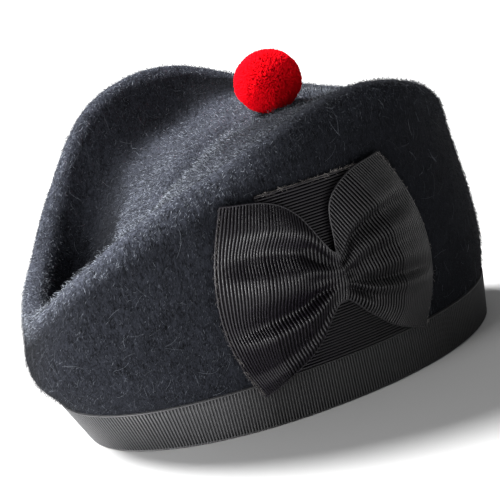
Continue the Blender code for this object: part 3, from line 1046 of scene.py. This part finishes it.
class GLENGARRY_OT_band(bpy.types.Operator):
    """Makes the ribbon round the lower edge, with its ribs."""

    bl_idname = "glengarry.band"
    bl_label = "Band"

    def execute(self, context):
        settings = context.scene.glengarry_ribbon
        material = ribbon_material("band_grosgrain", settings.band_colour, BAND_WEAVE)
        lower, upper, around = band_rings(settings.rib_pitch)
        band = finished("band_ribbon", band_sheet(lower, upper), "band_ribbon", material)
        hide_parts("band")

        lower = [Vector(point) for point in lower]
        upper = [Vector(point) for point in upper]
        shares = np.linspace(*BAND_RIB_SHARES, BAND_RIB_POINTS)
        rows = [[low.lerp(high, share) for share in shares] for low, high in zip(lower, upper)]
        band_ribs = ribs("band_ribs", rows, settings.rib_radius, material, "band_ribbon")
        closed = list(zip(lower + lower[:1], upper + upper[:1]))
        rows = [[low.lerp(high, share) for low, high in closed] for share in BAND_SELVEDGES]
        edges = ribs("band_selvedges", rows, settings.selvedge_radius, material, "band_ribbon")
        return {"FINISHED"}


def row_value(rows, place, column):
    """A column of a table, read smoothly at a place between rows that start with their own places."""
    keys = [row[0] for row in rows]
    values = [getattr(row, column) for row in rows]
    values = [2 * values[0] - values[1], *values, 2 * values[-1] - values[-2]]
    low = sum(place > key for key in keys[1:-1])
    before, start, end, after = values[low : low + 4]
    share = (place - keys[low]) / (keys[low + 1] - keys[low])
    return 0.5 * (
        2 * start
        + (end - before) * share
        + (2 * before - 5 * start + 4 * end - after) * share**2
        + (3 * start - before - 3 * end + after) * share**3
    )


def bow_place(place, across):
    """Where a point of the bow lies on the wall, as x and z."""
    line = BowLine(place, *(row_value(BOW_LINES, place, column) for column in BowLine._fields[1:]))
    x = line.middle_x + (line.top_x - line.low_x) / 2 * across
    x += ((line.top_x + line.low_x) / 2 - line.middle_x) * across**2
    z = (line.top_z - line.low_z) / 2 * across + (line.top_z + line.low_z) / 2 * across**2
    x = OPENING.x + COCKADE_CENTRE.x + x * COCKADE_HALF_WIDTH
    return x, COCKADE_CENTRE.z + z * COCKADE_HALF_HEIGHT


def tuck_depth(tuck, place, across):
    """How deep a tuck is at a point of the bow, as a share of FOLD_RELIEF."""
    along = (place - tuck.place) / TUCK_REACH
    over = (across - tuck.across) / tuck.width
    return tuck.depth * math.exp(-(along**2) - over**2)


def bow_lift(place, across):
    """How far the bow's folds stand off the backing."""
    folds = row_value(LEFT_FOLDS if place < 0 else RIGHT_FOLDS, across, "height")
    reach = abs(place)
    gather = math.exp(-((reach / GATHER_REACH) ** 2))
    swell = (1 - gather) * (1 - reach**END_CURL)
    tucks = sum(tuck_depth(tuck, place, across) for tuck in TUCKS)
    lap = LAP * gather if place < LAP_PLACE else 0
    return max(FOLD_RELIEF * (folds * swell + GATHER_HEIGHT * gather - tucks), 0) + lap


def on_near_wall(tree, x, z, lift):
    """A point that stands off the near wall by lift. Below the felt's shoulder it hangs straight down."""
    start = Vector((x, -RAY_START, max(z, SHOULDER)))
    hit = tree.ray_cast(start, Vector((0, 1, 0)))[0]
    return Vector((x, hit.y - lift, z))


def cloth_sheet(name, grid):
    """A closed sheet of ribbon over a grid of points, as thick as the ribbon without its ribs."""
    rows = len(grid[0])
    faces = []
    for column in range(len(grid) - 1):
        for row in range(rows - 1):
            first = column * rows + row
            faces.append((first, first + rows, first + rows + 1, first + 1))
    points = [point for column in grid for point in column]
    return thickened(placed(name, mesh_of(name, points, (), faces)), RIBBON - SHEET_INSET)


def make_backing(settings, wall, cloth, gap_shade):
    """Makes the ribbon behind the bow, and returns its cut upper edge as a row of points."""
    front = CLEARANCE + RIBBON
    pitch = settings.rib_pitch
    widths = np.linspace(BACKING_LOW.x, BACKING_HIGH.x, BACKING_COLUMNS)
    heights = np.linspace(BACKING_LOW.z, BACKING_HIGH.z, BACKING_ROWS)
    grid = [[on_near_wall(wall, x, z, front - SHEET_INSET) for z in heights] for x in widths]
    # The sheet shows between the ribs, in painted shade
    backing = finished("backing_ribbon", cloth_sheet("backing_ribbon", grid), "cockade_ribbon", gap_shade)
    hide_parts("cockade_backing")
    heights = np.arange(BACKING_LOW.z + pitch / 2, BACKING_HIGH.z, pitch)
    rows = [[on_near_wall(wall, x, z, front) for x in widths] for z in heights]
    backing_ribs = ribs("backing_ribs", rows, settings.rib_radius, cloth, "cockade_ribbon")
    widths = np.linspace(BACKING_LOW.x, BACKING_HIGH.x, BACKING_EDGE_POINTS)
    return [on_near_wall(wall, x, BACKING_HIGH.z, front) for x in widths]


def make_bow(settings, wall, cloth, gap_shade, backing_edge):
    """Makes the gathered bow, with its ribs, its woven edges and the cockade's frayed ends."""
    seat = 2 * CLEARANCE + 2 * RIBBON
    count = round(2 * COCKADE_HALF_WIDTH / settings.rib_pitch)
    shares = [2 * step / BOW_STEPS - 1 for step in range(BOW_STEPS + 1)]
    rows = []
    grid = []
    for rib in range(count + 1):
        place = 2 * rib / count - 1
        spots = [(*bow_place(place, across), seat + bow_lift(place, across)) for across in shares]
        rows.append([on_near_wall(wall, x, z, lift) for x, z, lift in spots])
        grid.append([on_near_wall(wall, x, z, lift - SHEET_INSET) for x, z, lift in spots])
    # The sheet shows between the ribs, in painted shade
    bow = finished("bow_ribbon", cloth_sheet("bow_ribbon", grid), "cockade_ribbon", gap_shade)
    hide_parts("cockade_bow")
    bow_ribs = ribs("bow_ribs", rows, settings.rib_radius, cloth, "cockade_ribbon")
    sides = [[row[side] for row in rows] for side in (0, -1)]
    edges = ribs("bow_selvedges", sides, settings.selvedge_radius, cloth, "cockade_ribbon")
    threads = make_frays({"backing": backing_edge, "bow_left": rows[0], "bow_right": rows[-1]})


def make_frays(edges):
    """Makes the loose threads along the cockade's cut edges."""
    chance = random.Random(SEEDS["frays"])
    rows = []
    for fray in FRAYS:
        edge = edges[fray.edge][fray.first:fray.last]
        rows += frayed_threads(edge, fray.count, chance)
        rows.append(wandering(edge, chance))
    material = hair_material("frayed_threads", FRAY_DARK, FRAY_LIGHT)
    mesh = random_tone(cords(rows, FRAY_RADIUS, HAIR_SIDES, material), SEEDS["fray_tones"])
    return finished("cockade_frays", mesh, "cockade_ribbon")


def frayed_threads(edge, count, chance):
    """Short loose threads along a cut edge, as rows of points. None starts at its last point."""
    rows = []
    for _ in range(count):
        place = chance.uniform(0, len(edge) - 1 - FRAY_STOP)
        step = int(place)
        start = edge[step].lerp(edge[step + 1], place - step)
        along = (edge[step + 1] - edge[step]).normalized()
        outward = (chance.gauss(0, 1), chance.uniform(*FRAY_OUTWARD), chance.gauss(0, 1))
        outward = Vector(outward).normalized()
        curl = along * chance.gauss(0, FRAY_CURL)
        size = FRAY_LENGTH * chance.uniform(*FRAY_LENGTHS)
        rows.append([start + outward * size * share + curl * size * share**2 for share in FRAY_SHARES])
    return rows


def wandering(edge, chance):
    """A thread that wanders a little off an edge, as a row of points."""
    wander = FRAY_WANDER
    return [point + Vector([chance.uniform(-wander, wander) for _ in range(3)]) for point in edge]


class GLENGARRY_OT_cockade(bpy.types.Operator):
    """Makes the cockade: its backing, its gathered bow, and the frayed cut ends."""

    bl_idname = "glengarry.cockade"
    bl_label = "Cockade"

    def execute(self, context):
        settings = context.scene.glengarry_ribbon
        cloth = ribbon_material("cockade_grosgrain", settings.cockade_colour, COCKADE_WEAVE)
        # A darker copy of the cloth for the sheet between the ribs, as painted shade
        gap_shade = ribbon_material("cockade_gaps", settings.cockade_colour, GAP_SHADE_WEAVE)
        wall = search_tree("crown")
        backing_edge = make_backing(settings, wall, cloth, gap_shade)
        make_bow(settings, wall, cloth, gap_shade, backing_edge)
        return {"FINISHED"}


def press_ball(mesh):
    """Makes a round ball of yarn as flat and as uneven as the toorie is, and returns it."""
    for vertex in mesh.vertices:
        arm = vertex.co - TOORIE_CENTRE
        arm *= 1 + TOORIE_LUMPS * (noise.noise(arm.normalized() * TOORIE_LUMP_SCALE) - TOORIE_LUMP_SINK)
        arm.z *= TOORIE_FLATNESS
        vertex.co = TOORIE_CENTRE + arm
    return mesh


class GLENGARRY_OT_toorie(bpy.types.Operator):
    """Makes the red yarn pompom."""

    bl_idname = "glengarry.toorie"
    bl_label = "Toorie"

    def execute(self, context):
        settings = context.scene.glengarry_toorie
        deep = [channel * TOORIE_DEEP for channel in settings.colour]
        yarn = hair_material("red_yarn", deep, settings.colour, roughness=1.0, sheen=1.0)
        core_radius = TOORIE_RADIUS * CORE_SHARE
        ball = bmesh.new()
        bmesh.ops.create_icosphere(ball, subdivisions=CORE_SUBDIVISIONS, radius=core_radius)
        bmesh.ops.translate(ball, verts=ball.verts, vec=TOORIE_CENTRE)
        mesh = mesh_from(ball, "toorie_core")
        store(mesh, "tone", [0.0] * len(mesh.vertices))

        roots = mesh.copy()
        wall = search_tree("crown")
        cover = []
        for vertex in roots.vertices:
            tip = TOORIE_CENTRE + (vertex.co - TOORIE_CENTRE) * (TOORIE_RADIUS / core_radius)
            felt = wall.ray_cast(Vector((tip.x, tip.y, RAY_START)), Vector((0, 0, -1)))[0]
            cover.append(1.0 if tip.z > felt.z else 0.0)
        store(roots, "rub", [1.0] * len(cover))
        store(roots, "nap", cover)
        core = finished("toorie_core", press_ball(mesh), "red_yarn", yarn)
        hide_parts("toorie")

        strand = cut_strand()
        strands = with_nodes(
            placed("roots", roots), nap_on_surface, Fibre=strand, Material=yarn,
            Density=settings.strand_count / (4 * math.pi * core_radius**2),
            Length=TOORIE_RADIUS - core_radius, Variation=STRAND_VARIATION,
            Thickness=settings.strand_thickness, Comb=(0.0, 0.0, 0.0),
            Rise=1.0, Wildness=STRAND_WILDNESS, Seed=SEEDS["strands"],
        )
        finished("toorie_strands", press_ball(strands), "red_yarn")
        bpy.data.objects.remove(strand, do_unlink=True)
        return {"FINISHED"}


def add_floor(colour):
    """A flat floor just under the cap."""
    reach = FLOOR_REACH
    corners = [(-reach, -reach, 0), (reach, -reach, 0), (reach, reach, 0), (-reach, reach, 0)]
    mesh = mesh_of("floor", corners, (), [(0, 1, 2, 3)])
    mesh.materials.append(floor_material(colour))
    floor = placed("floor", mesh)
    floor.location.z = -FLOOR_DROP


def add_light(lamp, strength):
    """A light that the camera doesn't see, turned to the camera's aim."""
    light = bpy.data.lights.new(lamp.name, lamp.kind)
    light.energy = strength
    for setting, value in lamp.shape.items():
        setattr(light, setting, value)
    place = Vector(lamp.place)
    holder = placed(lamp.name, light)
    holder.location = CAMERA_AIM + place
    holder.rotation_euler = (-place).to_track_quat("-Z", "Y").to_euler()
    holder.visible_camera = False


def add_camera(scene):
    """The camera, at the photograph's angle to the cap."""
    level = math.cos(CAMERA_ABOVE)
    heading = (math.sin(CAMERA_AROUND) * level, math.cos(CAMERA_AROUND) * level, -math.sin(CAMERA_ABOVE))
    heading = Vector(heading)
    data = bpy.data.cameras.new("camera")
    data.sensor_width = SENSOR
    data.lens = SENSOR * FOCAL_PIXELS / FRAME_PIXELS
    data.shift_x = (FRAME_PIXELS / 2 - AIM_PIXEL[0]) / FRAME_PIXELS
    data.shift_y = (AIM_PIXEL[1] - FRAME_PIXELS / 2) / FRAME_PIXELS
    camera = placed("camera", data)
    camera.location = CAMERA_AIM - heading * CAMERA_DISTANCE
    upright = heading.to_track_quat("-Z", "Y").to_matrix()
    camera.rotation_euler = (upright @ Matrix.Rotation(-CAMERA_ROLL, 3, "Z")).to_euler()
    scene.camera = camera


class GLENGARRY_OT_stage(bpy.types.Operator):
    """Makes the floor, the lights and the camera."""

    bl_idname = "glengarry.stage"
    bl_label = "Stage"

    def execute(self, context):
        settings = context.scene.glengarry_stage
        scene = context.scene
        add_floor(settings.floor_colour)
        world = bpy.data.worlds.new("studio")
        world.use_nodes = True
        scene.world = world
        background = world.node_tree.nodes["Background"]
        background.inputs["Color"].default_value = (1, 1, 1, 1)
        background.inputs["Strength"].default_value = settings.room_strength
        scene.view_settings.view_transform = "Standard"
        for lamp in LAMPS:
            add_light(lamp, getattr(settings, lamp.strength))
        add_camera(scene)
        return {"FINISHED"}


OPERATORS = (
    GLENGARRY_OT_felt,
    GLENGARRY_OT_band,
    GLENGARRY_OT_cockade,
    GLENGARRY_OT_toorie,
    GLENGARRY_OT_stage,
)


class GLENGARRY_PT_pieces(bpy.types.Panel):
    """Lists the operators and their settings."""

    bl_label = "Glengarry"
    bl_space_type = "VIEW_3D"
    bl_region_type = "UI"
    bl_category = "Glengarry"

    def draw(self, context):
        for operator in OPERATORS:
            self.layout.operator(operator.bl_idname)
        for settings, group in SETTINGS.items():
            box = self.layout.box()
            for name in group.__annotations__:
                box.prop(getattr(context.scene, settings), name)


CLASSES = (*SETTINGS.values(), *OPERATORS, GLENGARRY_PT_pieces)


def register():
    for item in CLASSES:
        bpy.utils.register_class(item)
    for name, group in SETTINGS.items():
        setattr(bpy.types.Scene, name, bpy.props.PointerProperty(type=group))


def unregister():
    for name in SETTINGS:
        delattr(bpy.types.Scene, name)
    for item in reversed(CLASSES):
        bpy.utils.unregister_class(item)


def main():
    register()
    bpy.ops.glengarry.felt()
    bpy.ops.glengarry.band()
    bpy.ops.glengarry.cockade()
    bpy.ops.glengarry.toorie()
    bpy.ops.glengarry.stage()


if __name__ == "__main__":
    main()
